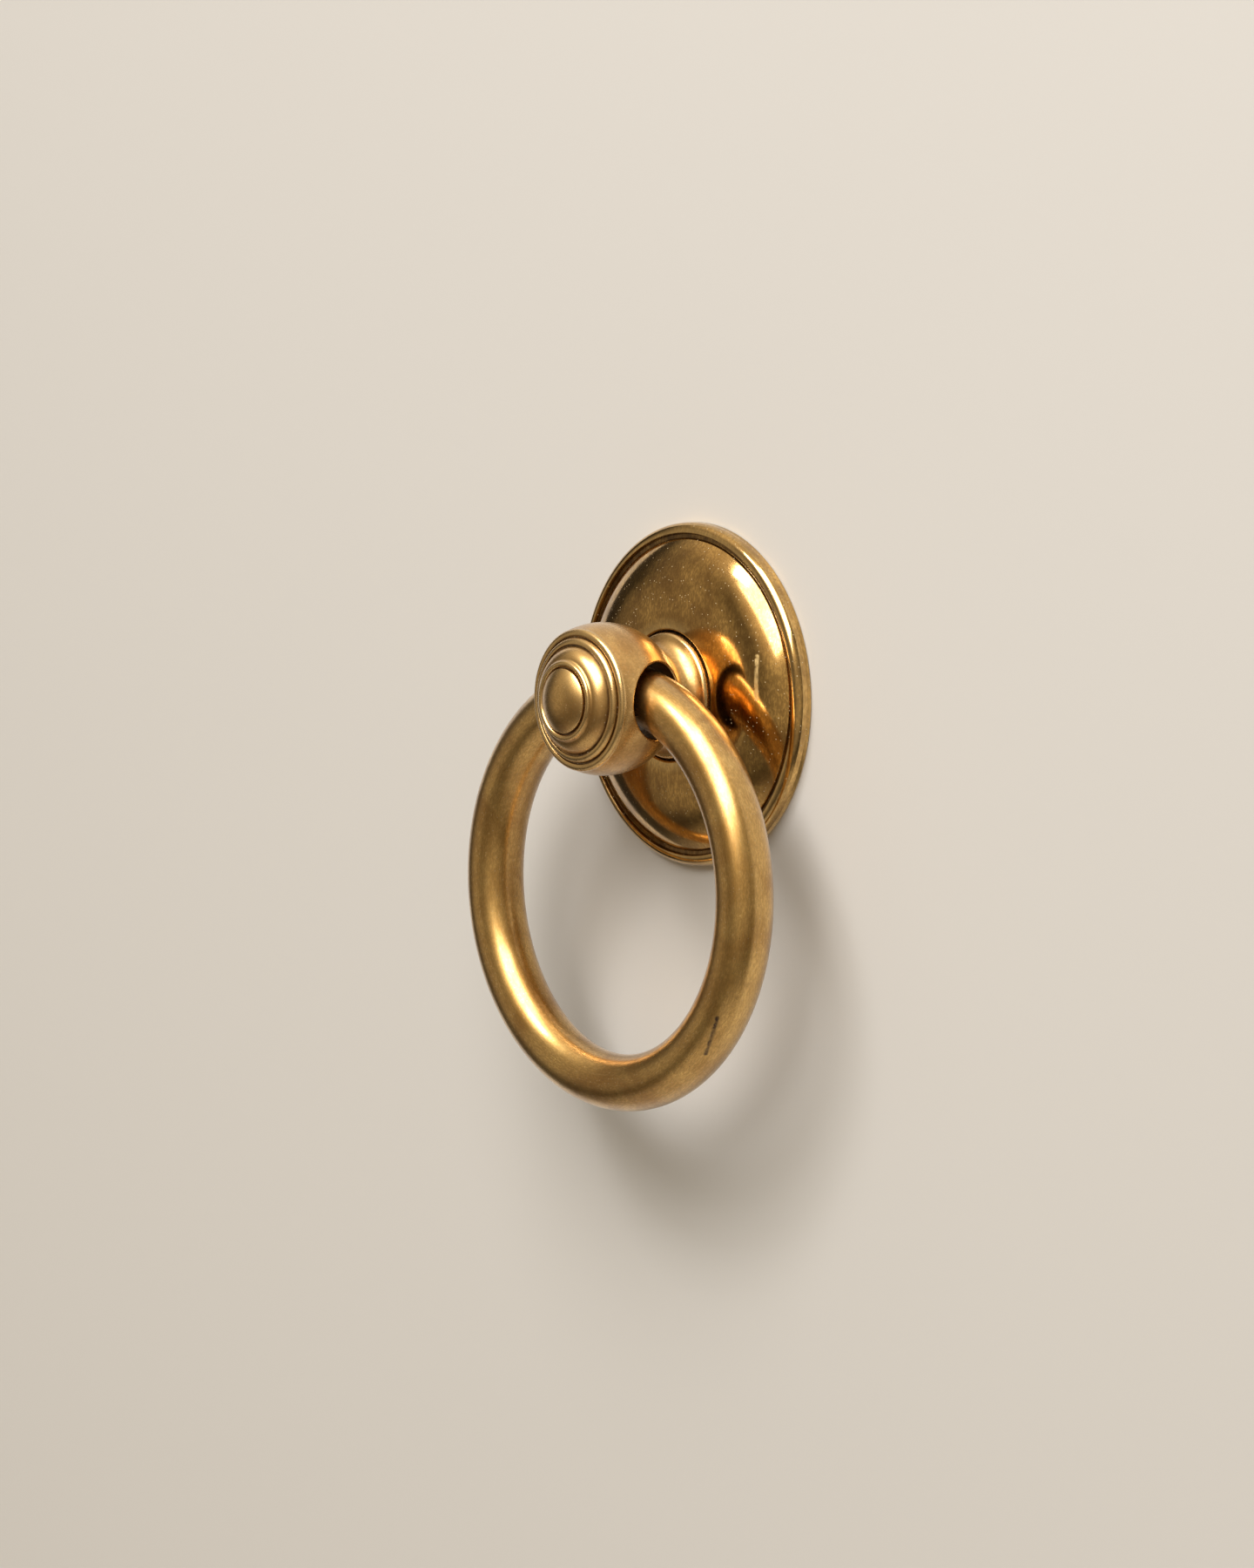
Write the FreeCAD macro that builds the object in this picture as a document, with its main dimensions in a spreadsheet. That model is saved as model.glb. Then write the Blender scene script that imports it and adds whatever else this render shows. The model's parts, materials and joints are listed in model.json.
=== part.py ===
import FreeCAD, Part
import math
import os
import Sketcher

# Ring pull for a drawer or cupboard door: a turned rose, a turned post with a ball end, and a ring
# that hangs through the ball. Millimetres, +Z up. The origin is the middle of the rose's back face,
# the front of the pull is towards -Y, and distances along the post's axis are counted from that face.

doc = FreeCAD.newDocument("ring_pull")

DRIVING_SIZES = [
    # ring
    ("rod_diameter", 6.35, "rod of the ring"),
    ("ring_diameter", 50.1, "ring, outside"),
    ("ring_play", 0.2, "gap over the rod, in the middle of the cross hole"),
    ("hole_crossing", 6.15, "from the post's axis to where the rod's centre line crosses the hole's axis"),
    # rose
    ("plate_diameter", 38.5, "rose, outside"),
    ("plate_edge", 0.75, "upright edge of the rose, below its bead"),
    ("bead_width", 1.17, "edge bead, across"),
    ("bead_rise", 1.1, "edge bead, from the upright edge to the quirk"),
    ("quirk_width", 0.68, "groove inside the edge bead, across"),
    ("quirk_slope", 0.12, "lean of each wall of that groove"),
    ("quirk_depth", 0.3, "depth of that groove below the field"),
    ("field_height", 1.65, "outer edge of the domed field, from the back face"),
    ("field_rise", 2.9, "rise of the domed field to the seat's rim"),
    ("shoulder_width", 5.0, "steeper outer part of the field, across"),
    ("shoulder_rise", 2.45, "rise of that part"),
    ("shoulder_radius", 10.0, "curve of that part"),
    ("rim_rounding", 0.3, "rounded rim of the seat"),
    ("seat_thickness", 2.0, "rose under the post's collar"),
    # collar, neck and tail of the post
    ("collar_step", 1.85, "collar beyond the neck, on the radius"),
    ("collar_turn", 75.0, "turn of the cove and of the roll between neck and collar, degrees"),
    ("collar_roll", 0.5, "rounded edge of the collar"),
    ("collar_reveal", 0.05, "collar's upright side above the seat's rim"),
    ("collar_gap", 0.25, "gap between collar and seat, on the radius"),
    ("neck_diameter", 10.4, "neck behind the ball"),
    ("neck_length", 0.12, "straight part of the neck"),
    ("spigot_wall", 2.0, "wall of the tail round the stud"),
    ("spigot_gap", 0.15, "gap between the tail and the rose, on the radius"),
    ("spigot_recess", 0.3, "tail short of the back face"),
    ("spigot_chamfer", 0.3, "chamfer at the end of the tail"),
    # ball
    ("ball_wall", 4.25, "ball beyond the cross hole, on the radius"),
    ("hole_land", 0.4, "along the axis, from the neck to the cross hole"),
    ("face_land", 0.95, "along the axis, from the cross hole to the edge of the face"),
    ("hole_rounding", 0.2, "rounded mouths of the cross hole"),
    # moulded face of the ball
    ("lip_width", 0.8, "rounded lip at the edge of the face"),
    ("lip_rise", 0.5, "rise of that lip"),
    ("lip_swell", 0.27, "roundness of that lip"),
    ("line_width", 0.18, "turned line on each side of the band inside the lip"),
    ("line_depth", 0.22, "depth of those lines"),
    ("reed_width", 0.73, "rounded band inside the lip"),
    ("reed_rise", 0.5, "rise of that band"),
    ("reed_swell", 0.26, "roundness of that band"),
    ("ovolo_width", 1.28, "rounded slope inside the band"),
    ("ovolo_rise", 1.12, "rise of that slope above the band"),
    ("ovolo_swell", 0.2, "roundness of that slope"),
    ("dip_width", 0.32, "hollow between that slope and the roll round the boss"),
    ("dip_rise", 0.3, "rise of that hollow"),
    ("dip_swell", 0.06, "depth of that hollow"),
    ("roll_width", 0.64, "raised roll round the boss"),
    ("roll_swell", 0.2, "height of that roll"),
    ("boss_gap", 0.2, "groove between the roll and the boss, across"),
    ("boss_sink", 0.28, "depth of that groove below the roll's foot"),
    ("boss_side", 0.5, "upright side of the boss, from the floor of that groove"),
    ("boss_dome", 1.13, "dome of the boss"),
    # stud
    ("stud_diameter", 4.0, "stud, over its thread"),
    ("stud_reach", 22.0, "stud behind the back face"),
    ("stud_wall", 1.4, "solid between the tapped hole and the cross hole"),
    ("stud_chamfer", 0.5, "chamfer at each end of the stud"),
    ("waist_depth", 0.36, "waist between the stud's threads, below the thread's outside"),
    ("waist_behind", 0.3, "waist behind the back face"),
    ("waist_ahead", 1.5, "waist in front of the back face"),
    ("thread_gap", 0.03, "gap between stud and tapped hole, on the radius"),
]

sizes = doc.addObject("Spreadsheet::Sheet", "Sizes")
for row, (alias, number, meaning) in enumerate(DRIVING_SIZES, start=1):
    sizes.set(f"A{row}", meaning)
    sizes.set(f"B{row}", str(number))
    sizes.setAlias(f"B{row}", alias)

# What follows from the sizes above. The ring is lifted in its hole so that the bent rod clears the
# middle of the hole and both mouths alike; the ball is built round that hole, and the face beyond it.
WORKED_SIZES = [
    ("rod_radius", "Sizes.rod_diameter / 2"),
    ("ring_radius", "(Sizes.ring_diameter - Sizes.rod_diameter) / 2"),
    ("ring_lift", "ring_radius - sqrt(ring_radius ^ 2 - Sizes.hole_crossing ^ 2)"),
    ("hole_radius", "rod_radius + ring_lift + Sizes.ring_play"),
    ("ball_radius", "hole_radius + Sizes.ball_wall"),
    ("neck_radius", "Sizes.neck_diameter / 2"),
    ("collar_radius", "neck_radius + Sizes.collar_step"),
    ("seat_radius", "collar_radius + Sizes.collar_gap"),
    ("plate_radius", "Sizes.plate_diameter / 2"),
    ("quirk_outer", "plate_radius - Sizes.bead_width"),
    ("field_outer", "quirk_outer - Sizes.quirk_width"),
    ("quirk_floor", "Sizes.field_height - Sizes.quirk_depth"),
    ("bead_crest", "Sizes.plate_edge + Sizes.bead_rise"),
    ("field_inner", "seat_radius + Sizes.rim_rounding"),
    ("crown_outer", "field_outer - Sizes.shoulder_width"),
    ("crown_foot", "Sizes.field_height + Sizes.shoulder_rise"),
    ("rim_height", "Sizes.field_height + Sizes.field_rise"),
    ("shoulder_chord", "sqrt(Sizes.shoulder_width ^ 2 + Sizes.shoulder_rise ^ 2)"),
    ("shoulder_turn", "2 * asin(shoulder_chord / (2 * Sizes.shoulder_radius))"),
    ("shoulder_end_lean", "atan(Sizes.shoulder_rise / Sizes.shoulder_width) - shoulder_turn / 2"),
    ("crown_chord", "sqrt((crown_outer - field_inner) ^ 2 + (rim_height - crown_foot) ^ 2)"),
    ("crown_lean", "atan((rim_height - crown_foot) / (crown_outer - field_inner))"),
    ("crown_swell", "crown_chord / 2 * tan((shoulder_end_lean - crown_lean) / 2)"),
    ("collar_top", "rim_height + Sizes.collar_reveal"),
    ("cove_radius", "Sizes.collar_step / (1 - cos(Sizes.collar_turn)) - Sizes.collar_roll"),
    ("roll_end_radius", "collar_radius - Sizes.collar_roll * (1 - cos(Sizes.collar_turn))"),
    ("roll_end", "collar_top + Sizes.collar_roll * sin(Sizes.collar_turn)"),
    ("cove_end", "roll_end + cove_radius * sin(Sizes.collar_turn)"),
    ("neck_end", "cove_end + Sizes.neck_length"),
    ("ball_centre", "neck_end + sqrt(ball_radius ^ 2 - neck_radius ^ 2)"),
    ("hole_distance", "neck_end + Sizes.hole_land + hole_radius"),
    ("face_distance", "hole_distance + hole_radius + Sizes.face_land"),
    ("face_radius", "sqrt(ball_radius ^ 2 - (face_distance - ball_centre) ^ 2)"),
    ("lip_inner", "face_radius - Sizes.lip_width"),
    ("lip_top", "face_distance + Sizes.lip_rise"),
    ("lip_line", "lip_top - Sizes.line_depth"),
    ("reed_outer", "lip_inner - Sizes.line_width"),
    ("reed_inner", "reed_outer - Sizes.reed_width"),
    ("reed_top", "lip_top + Sizes.reed_rise"),
    ("reed_line", "reed_top - Sizes.line_depth"),
    ("ovolo_outer", "reed_inner - Sizes.line_width"),
    ("ovolo_inner", "ovolo_outer - Sizes.ovolo_width"),
    ("ovolo_top", "reed_top + Sizes.ovolo_rise"),
    ("roll_outer", "ovolo_inner - Sizes.dip_width"),
    ("roll_foot", "ovolo_top + Sizes.dip_rise"),
    ("roll_inner", "roll_outer - Sizes.roll_width"),
    ("boss_foot", "roll_foot - Sizes.boss_sink"),
    ("boss_radius", "roll_inner - Sizes.boss_gap"),
    ("boss_edge", "boss_foot + Sizes.boss_side"),
    ("boss_top", "boss_edge + Sizes.boss_dome"),
    ("stud_radius", "Sizes.stud_diameter / 2"),
    ("bore_radius", "stud_radius + Sizes.thread_gap"),
    ("bore_end", "hole_distance - hole_radius - Sizes.stud_wall"),
    ("stud_length", "Sizes.stud_reach + bore_end"),
    ("waist_radius", "stud_radius - Sizes.waist_depth"),
    ("free_thread_end", "Sizes.stud_reach - Sizes.waist_behind"),
    ("waist_start", "free_thread_end + Sizes.waist_depth"),
    ("held_thread_start", "Sizes.stud_reach + Sizes.waist_ahead"),
    ("waist_end", "held_thread_start - Sizes.waist_depth"),
    ("spigot_radius", "bore_radius + Sizes.spigot_wall"),
    ("spigot_side", "Sizes.spigot_recess + Sizes.spigot_chamfer"),
    ("plate_bore", "spigot_radius + Sizes.spigot_gap"),
]

worked = doc.addObject("Spreadsheet::Sheet", "Worked")
for row, (alias, formula) in enumerate(WORKED_SIZES, start=1):
    worked.set(f"A{row}", alias)
    worked.set(f"B{row}", f"={formula}")
    worked.setAlias(f"B{row}", alias)
doc.recompute()


def number_of(expression):
    return float(worked.evalExpression(expression))


def origin_plane(body, role):
    for feature in body.Origin.OriginFeatures:
        if feature.Role == role:
            return feature
    raise ValueError(f"no origin plane {role}")


def new_sketch(body, name, role):
    sketch = body.newObject("Sketcher::SketchObject", name)
    sketch.AttachmentSupport = (origin_plane(body, role), [""])
    sketch.MapMode = "FlatFace"
    return sketch


def arc_over(start, end, swell):
    # the arc whose middle stands off its chord by the swell, to the left of the direction of travel
    chord = end - start
    left = FreeCAD.Vector(-chord.y, chord.x, 0).normalize()
    radius = (chord.Length ** 2 / 4 + swell ** 2) / (2 * abs(swell))
    centre = (start + end) * 0.5 + left * (swell - math.copysign(radius, swell))
    first, last = [math.atan2(point.y - centre.y, point.x - centre.x) for point in (start, end)]
    circle = Part.Circle(centre, FreeCAD.Vector(0, 0, 1), radius)
    if swell > 0:
        return Part.ArcOfCircle(circle, last, first), (2, 1)
    return Part.ArcOfCircle(circle, first, last), (1, 2)


def turned_profile(sketch, outline):
    # A closed half section, as (radius, distance, swell) from the back face outwards. The swell shapes the
    # edge that leads to that point: none for a straight edge, or the height of an arc over its chord, out of
    # the metal if positive. Every corner and every arc is held by the sheets' values.
    places = []
    for radius, distance, _ in outline:
        places.append(FreeCAD.Vector(number_of(radius), -number_of(distance), 0))
    edges = []
    ends = []
    for index, (_, _, swell) in enumerate(outline):
        start = places[index - 1]
        end = places[index]
        if swell is None:
            edges.append(Part.LineSegment(start, end))
            ends.append((1, 2))
        else:
            arc, arc_ends = arc_over(start, end, number_of(swell))
            edges.append(arc)
            ends.append(arc_ends)
    sketch.addGeometry(edges, False)

    constraints = []
    bindings = []
    for index, (radius, distance, swell) in enumerate(outline):
        following = (index + 1) % len(outline)
        corner = (index, ends[index][1])
        constraints.append(Sketcher.Constraint("Coincident", *corner, following, ends[following][0]))
        if radius == "0":
            constraints.append(Sketcher.Constraint("PointOnObject", *corner, -2))
        else:
            bindings.append((len(constraints), f"radius_{index}", radius))
            constraints.append(Sketcher.Constraint("DistanceX", -1, 1, *corner, places[index].x))
        if distance == "0":
            constraints.append(Sketcher.Constraint("PointOnObject", *corner, -1))
        else:
            bindings.append((len(constraints), f"distance_{index}", distance))
            constraints.append(Sketcher.Constraint("DistanceY", *corner, -1, 1, -places[index].y))
        if swell is not None:
            before = outline[index - 1]
            chord = f"((({radius}) - ({before[0]})) ^ 2 + (({distance}) - ({before[1]})) ^ 2)"
            curve = f"({chord} / 4 + ({swell}) ^ 2) / (2 * abs({swell}))"
            bindings.append((len(constraints), f"curve_{index}", curve))
            constraints.append(Sketcher.Constraint("Radius", index, number_of(curve)))
    sketch.addConstraint(constraints)
    for place, name, expression in bindings:
        sketch.renameConstraint(place, name)
        sketch.setExpression(f"Constraints.{name}", expression)


def turned_body(label, outline):
    body = doc.addObject("PartDesign::Body", label)
    body.Label = label
    sketch = new_sketch(body, f"{label}_section", "XY_Plane")
    turned_profile(sketch, outline)
    doc.recompute()
    turning = body.newObject("PartDesign::Revolution", f"{label}_turning")
    turning.Profile = sketch
    turning.ReferenceAxis = (sketch, ["V_Axis"])
    turning.Angle = 360.0
    doc.recompute()
    return body, turning


def turn_swell(radius, turn):
    # height over its chord of an arc of that radius, through that turn in degrees
    return f"{radius} * (1 - cos(({turn}) / 2))"


def chord_swell(radius, across, along):
    # the same for an arc of that radius, between two points so far apart across and along the axis
    return f"({radius} - sqrt(({radius}) ^ 2 - (({across}) ^ 2 + ({along}) ^ 2) / 4))"


def tangent_radius(lean, reach):
    # radius of an arc that leaves one end along the reach, and leans away from it at the other end
    return f"((({lean}) ^ 2 + ({reach}) ^ 2) / (2 * ({lean})))"


# Backplate: the rose, with the seat for the post's collar sunk in its middle.
bead_curve = tangent_radius("Sizes.bead_width", "Sizes.bead_rise")
shoulder_swell = turn_swell("Sizes.shoulder_radius", "Worked.shoulder_turn")
backplate, _ = turned_body("backplate", [
    ("Worked.plate_bore", "0", None),
    ("Worked.plate_radius", "0", None),
    ("Worked.plate_radius", "Sizes.plate_edge", None),
    ("Worked.quirk_outer", "Worked.bead_crest", chord_swell(bead_curve, "Sizes.bead_width", "Sizes.bead_rise")),
    ("Worked.quirk_outer - Sizes.quirk_slope", "Worked.quirk_floor", None),
    ("Worked.field_outer + Sizes.quirk_slope", "Worked.quirk_floor", None),
    ("Worked.field_outer", "Sizes.field_height", None),
    ("Worked.crown_outer", "Worked.crown_foot", shoulder_swell),
    ("Worked.field_inner", "Worked.rim_height", "Worked.crown_swell"),
    ("Worked.seat_radius", "Worked.rim_height - Sizes.rim_rounding", turn_swell("Sizes.rim_rounding", "90")),
    ("Worked.seat_radius", "Sizes.seat_thickness", None),
    ("Worked.plate_bore", "Sizes.seat_thickness", None),
])

# Ring post: tapped tail, collar, cove, neck, ball and moulded face, turned from one bar.
collar_swell = turn_swell("Sizes.collar_roll", "Sizes.collar_turn")
cove_swell = turn_swell("Worked.cove_radius", "Sizes.collar_turn")
ball_across = "Worked.face_radius - Worked.neck_radius"
ball_along = "Worked.face_distance - Worked.neck_end"
boss_curve = tangent_radius("Sizes.boss_dome", "Worked.boss_radius")
ring_post, turning = turned_body("ring_post", [
    ("0", "Worked.bore_end", None),
    ("Worked.bore_radius", "Worked.bore_end", None),
    ("Worked.bore_radius", "Sizes.spigot_recess", None),
    ("Worked.spigot_radius - Sizes.spigot_chamfer", "Sizes.spigot_recess", None),
    ("Worked.spigot_radius", "Worked.spigot_side", None),
    ("Worked.spigot_radius", "Sizes.seat_thickness", None),
    ("Worked.collar_radius", "Sizes.seat_thickness", None),
    ("Worked.collar_radius", "Worked.collar_top", None),
    ("Worked.roll_end_radius", "Worked.roll_end", collar_swell),
    ("Worked.neck_radius", "Worked.cove_end", f"-({cove_swell})"),
    ("Worked.neck_radius", "Worked.neck_end", None),
    ("Worked.face_radius", "Worked.face_distance", chord_swell("Worked.ball_radius", ball_across, ball_along)),
    ("Worked.lip_inner", "Worked.lip_top", "Sizes.lip_swell"),
    ("Worked.lip_inner", "Worked.lip_line", None),
    ("Worked.reed_outer", "Worked.lip_line", None),
    ("Worked.reed_inner", "Worked.reed_top", "Sizes.reed_swell"),
    ("Worked.reed_inner", "Worked.reed_line", None),
    ("Worked.ovolo_outer", "Worked.reed_line", None),
    ("Worked.ovolo_inner", "Worked.ovolo_top", "Sizes.ovolo_swell"),
    ("Worked.roll_outer", "Worked.roll_foot", "-Sizes.dip_swell"),
    ("Worked.roll_inner", "Worked.roll_foot", "Sizes.roll_swell"),
    ("Worked.roll_inner", "Worked.boss_foot", None),
    ("Worked.boss_radius", "Worked.boss_foot", None),
    ("Worked.boss_radius", "Worked.boss_edge", None),
    ("0", "Worked.boss_top", chord_swell(boss_curve, "Worked.boss_radius", "Sizes.boss_dome")),
])

# The cross hole for the ring, along X, with both mouths rounded.
hole_sketch = new_sketch(ring_post, "cross_hole_circle", "YZ_Plane")
hole_centre = FreeCAD.Vector(-number_of("Worked.hole_distance"), 0, 0)
hole_sketch.addGeometry(Part.Circle(hole_centre, FreeCAD.Vector(0, 0, 1), number_of("Worked.hole_radius")), False)
hole_sketch.addConstraint([
    Sketcher.Constraint("PointOnObject", 0, 3, -1),
    Sketcher.Constraint("DistanceX", 0, 3, -1, 1, -hole_centre.x),
    Sketcher.Constraint("Radius", 0, number_of("Worked.hole_radius")),
])
hole_sketch.renameConstraint(1, "distance")
hole_sketch.renameConstraint(2, "radius")
hole_sketch.setExpression("Constraints.distance", "Worked.hole_distance")
hole_sketch.setExpression("Constraints.radius", "Worked.hole_radius")
cross_hole = ring_post.newObject("PartDesign::Pocket", "cross_hole")
cross_hole.Profile = hole_sketch
cross_hole.Type = "ThroughAll"
cross_hole.SideType = "Symmetric"
doc.recompute()
if not cross_hole.Shape.Volume < turning.Shape.Volume - 1:
    raise RuntimeError("the cross hole cuts nothing")


def mouth_edges(shape, radius):
    # the two edges where the cross hole's wall meets the ball
    found = []
    for face in shape.Faces:
        wall = face.Surface
        if isinstance(wall, Part.Cylinder) and abs(wall.Axis.x) > 0.99 and abs(wall.Radius - radius) < 1e-4:
            for edge in face.Edges:
                if abs(edge.BoundBox.XLength) < radius and edge.BoundBox.ZLength > radius:
                    found.append(edge)
    return [f"Edge{place}" for place, edge in enumerate(shape.Edges, start=1)
            if any(edge.isSame(mouth) for mouth in found)]


mouths = ring_post.newObject("PartDesign::Fillet", "hole_mouths")
mouths.Base = (cross_hole, mouth_edges(cross_hole.Shape, number_of("Worked.hole_radius")))
mouths.setExpression("Radius", "Sizes.hole_rounding")
ring_post.Tip = mouths
doc.recompute()

# Pull ring: a round rod bent to a full circle, hanging upright through the cross hole.
pull_ring = doc.addObject("Part::Torus", "pull_ring")
pull_ring.Label = "pull_ring"
pull_ring.setExpression("Radius1", "Worked.ring_radius")
pull_ring.setExpression("Radius2", "Worked.rod_radius")
pull_ring.Placement = FreeCAD.Placement(FreeCAD.Vector(), FreeCAD.Rotation(FreeCAD.Vector(1, 0, 0), 90))
pull_ring.setExpression("Placement.Base.y", "-Worked.hole_distance")
pull_ring.setExpression("Placement.Base.z", "Worked.ring_lift - Worked.ring_radius")

# Fixing stud: turned from its far end, with a thread at each end and a waist where it leaves the post.
fixing_stud, _ = turned_body("fixing_stud", [
    ("0", "0", None),
    ("Worked.stud_radius - Sizes.stud_chamfer", "0", None),
    ("Worked.stud_radius", "Sizes.stud_chamfer", None),
    ("Worked.stud_radius", "Worked.free_thread_end", None),
    ("Worked.waist_radius", "Worked.waist_start", None),
    ("Worked.waist_radius", "Worked.waist_end", None),
    ("Worked.stud_radius", "Worked.held_thread_start", None),
    ("Worked.stud_radius", "Worked.stud_length - Sizes.stud_chamfer", None),
    ("Worked.stud_radius - Sizes.stud_chamfer", "Worked.stud_length", None),
    ("0", "Worked.stud_length", None),
])
fixing_stud.setExpression("Placement.Base.y", "Sizes.stud_reach")
doc.recompute()

sub_parts = [backplate, ring_post, pull_ring, fixing_stud]

for member in doc.Objects:
    if "Invalid" in member.State or "Error" in member.State:
        raise RuntimeError(f"{member.Label} failed: {member.State}")
for sub_part in sub_parts:
    if sub_part.Shape.isNull() or not sub_part.Shape.isValid():
        raise RuntimeError(f"{sub_part.Label} has no valid shape")

os.makedirs("parts", exist_ok=True)
for sub_part in sub_parts:
    sub_part.Shape.exportStep(f"parts/{sub_part.Label}.step")
    box = sub_part.Shape.BoundBox
    print(sub_part.Label, len(sub_part.Shape.Solids), round(sub_part.Shape.Volume, 2), box)
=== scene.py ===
import bmesh
import bpy
import json
import math
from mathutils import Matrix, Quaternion, Vector


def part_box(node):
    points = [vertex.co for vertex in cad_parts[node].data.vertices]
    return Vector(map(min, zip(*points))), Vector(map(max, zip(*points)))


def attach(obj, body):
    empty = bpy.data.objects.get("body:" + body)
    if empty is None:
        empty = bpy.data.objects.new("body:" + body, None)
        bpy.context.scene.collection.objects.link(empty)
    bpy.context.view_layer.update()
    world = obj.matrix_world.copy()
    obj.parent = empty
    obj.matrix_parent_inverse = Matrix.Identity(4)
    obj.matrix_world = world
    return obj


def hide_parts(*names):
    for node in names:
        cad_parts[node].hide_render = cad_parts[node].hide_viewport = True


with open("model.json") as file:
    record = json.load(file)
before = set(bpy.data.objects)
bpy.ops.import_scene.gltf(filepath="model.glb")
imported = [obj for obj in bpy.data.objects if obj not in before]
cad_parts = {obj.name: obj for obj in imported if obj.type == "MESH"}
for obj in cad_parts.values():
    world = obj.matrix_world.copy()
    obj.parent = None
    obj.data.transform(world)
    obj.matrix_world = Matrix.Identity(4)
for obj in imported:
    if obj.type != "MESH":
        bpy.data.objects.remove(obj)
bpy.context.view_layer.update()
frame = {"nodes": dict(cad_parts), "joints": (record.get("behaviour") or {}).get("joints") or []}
print("frame loaded:", sorted(frame["nodes"]))

mm = 0.001  # the settings below are in millimetres, Blender is in metres
markNames = ("along", "hollow", "crest")  # attributes of the meshes that the finishes read


# node helpers

def put(tree, kind, wires=None, **settings):
    node = tree.nodes.new(kind)
    for key, value in settings.items():
        setattr(node, key, value)
    for place, value in (wires or {}).items():
        feed(tree, pick(node.inputs, place), value)
    return node


def pick(sockets, place):
    if isinstance(place, int):
        return sockets[place]
    return next(socket for socket in sockets if socket.name == place and socket.enabled)


def feed(tree, socket, value):
    if isinstance(value, bpy.types.NodeSocket):
        tree.links.new(value, socket)
    else:
        socket.default_value = value


def calc(tree, operation, first, second=0.0, third=0.0, clamp=False):
    wires = {0: first, 1: second, 2: third}
    return put(tree, "ShaderNodeMath", wires, operation=operation, use_clamp=clamp).outputs[0]


def joined(tree, x=0.0, y=0.0, z=0.0):
    return put(tree, "ShaderNodeCombineXYZ", {0: x, 1: y, 2: z}).outputs[0]


def split(tree, vector):
    return put(tree, "ShaderNodeSeparateXYZ", {0: vector}).outputs


def vectored(tree, operation, first, second=(0.0, 0.0, 0.0), output="Vector"):
    return put(tree, "ShaderNodeVectorMath", {0: first, 1: second}, operation=operation).outputs[output]


def scaled(tree, vector, factor):
    return put(tree, "ShaderNodeVectorMath", {0: vector, "Scale": factor}, operation="SCALE").outputs[0]


def ranged(tree, value, edges, levels=(0.0, 1.0), easing="LINEAR"):
    wires = {0: value, 1: edges[0], 2: edges[1], 3: levels[0], 4: levels[1]}
    return put(tree, "ShaderNodeMapRange", wires, interpolation_type=easing).outputs[0]


def newTree(name, kind, takes, gives):
    tree = bpy.data.node_groups.new(name, kind)
    for label, socketKind, value in takes:
        socket = tree.interface.new_socket(label, in_out="INPUT", socket_type="NodeSocket" + socketKind)
        if value is not None:
            socket.default_value = value
    for label, socketKind in gives:
        tree.interface.new_socket(label, in_out="OUTPUT", socket_type="NodeSocket" + socketKind)
    return tree, tree.nodes.new("NodeGroupInput").outputs, tree.nodes.new("NodeGroupOutput").inputs


# outlines of turned pieces: (radius, distance in front of the back face, swell of the edge that leads there)

outlineSettings = dict(
    arcStep=math.radians(5),      # turn of an arc from point to point
    fewestSteps=4,                # steps of a short arc
    longestEasing=0.45,           # share of a run that the round of a corner may take
    smoothTurn=math.radians(12),  # a corner that turns less than this isn't broken
    roundSteps=(0.25, 0.5, 0.75),
    softening=0.35,               # reach of the hollow and crest masks along the outline
    sharpest=1.6,                 # curvature, per millimetre, that counts as a full hollow or crest
)


def arcPoints(start, end, swell):
    chord = end - start
    if not swell:
        return [start, end]
    radius = (chord.length ** 2 / 4 + swell ** 2) / (2 * abs(swell))
    left = Vector((-chord.y, chord.x)).normalized()
    centre = (start + end) / 2 + left * (swell - math.copysign(radius, swell))
    first = math.atan2(start.y - centre.y, start.x - centre.x)
    turn = -2 * math.copysign(math.asin(min(1, chord.length / 2 / radius)), swell)
    steps = max(outlineSettings["fewestSteps"], math.ceil(abs(turn) / outlineSettings["arcStep"]))
    angles = [first + turn * step / steps for step in range(steps + 1)]
    points = [centre + radius * Vector((math.cos(angle), math.sin(angle))) for angle in angles]
    return [start, *points[1:-1], end]


def trimmed(points, easing):
    # the polyline without its first stretch, as long as the easing, but never past its middle
    length = sum((b - a).length for a, b in zip(points, points[1:]))
    left = min(easing, length * outlineSettings["longestEasing"])
    for index, (a, b) in enumerate(zip(points, points[1:])):
        step = (b - a).length
        if step > left:
            return [a.lerp(b, left / step), *points[index + 1:]]
        left -= step
    return points


def easedOutline(corners, easing):
    # every corner is broken by a small round, as a turner breaks it with cloth
    points = [Vector(corner[:2]) for corner in corners]
    runs = [arcPoints(points[i], points[i + 1], corners[i + 1][2]) for i in range(len(points) - 1)]
    line = list(runs[0])
    for before, after in zip(runs, runs[1:]):
        corner = after[0]
        turned = (before[-1] - before[-2]).angle(after[1] - after[0])
        if turned < outlineSettings["smoothTurn"]:
            line.extend(after[1:])
            continue
        after = trimmed(after, easing)
        line = trimmed(line[::-1], easing)[::-1]
        start, end = line[-1], after[0]
        for step in outlineSettings["roundSteps"]:
            line.append(start.lerp(corner, step).lerp(corner.lerp(end, step), step))
        line.extend(after)
    return line


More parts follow.
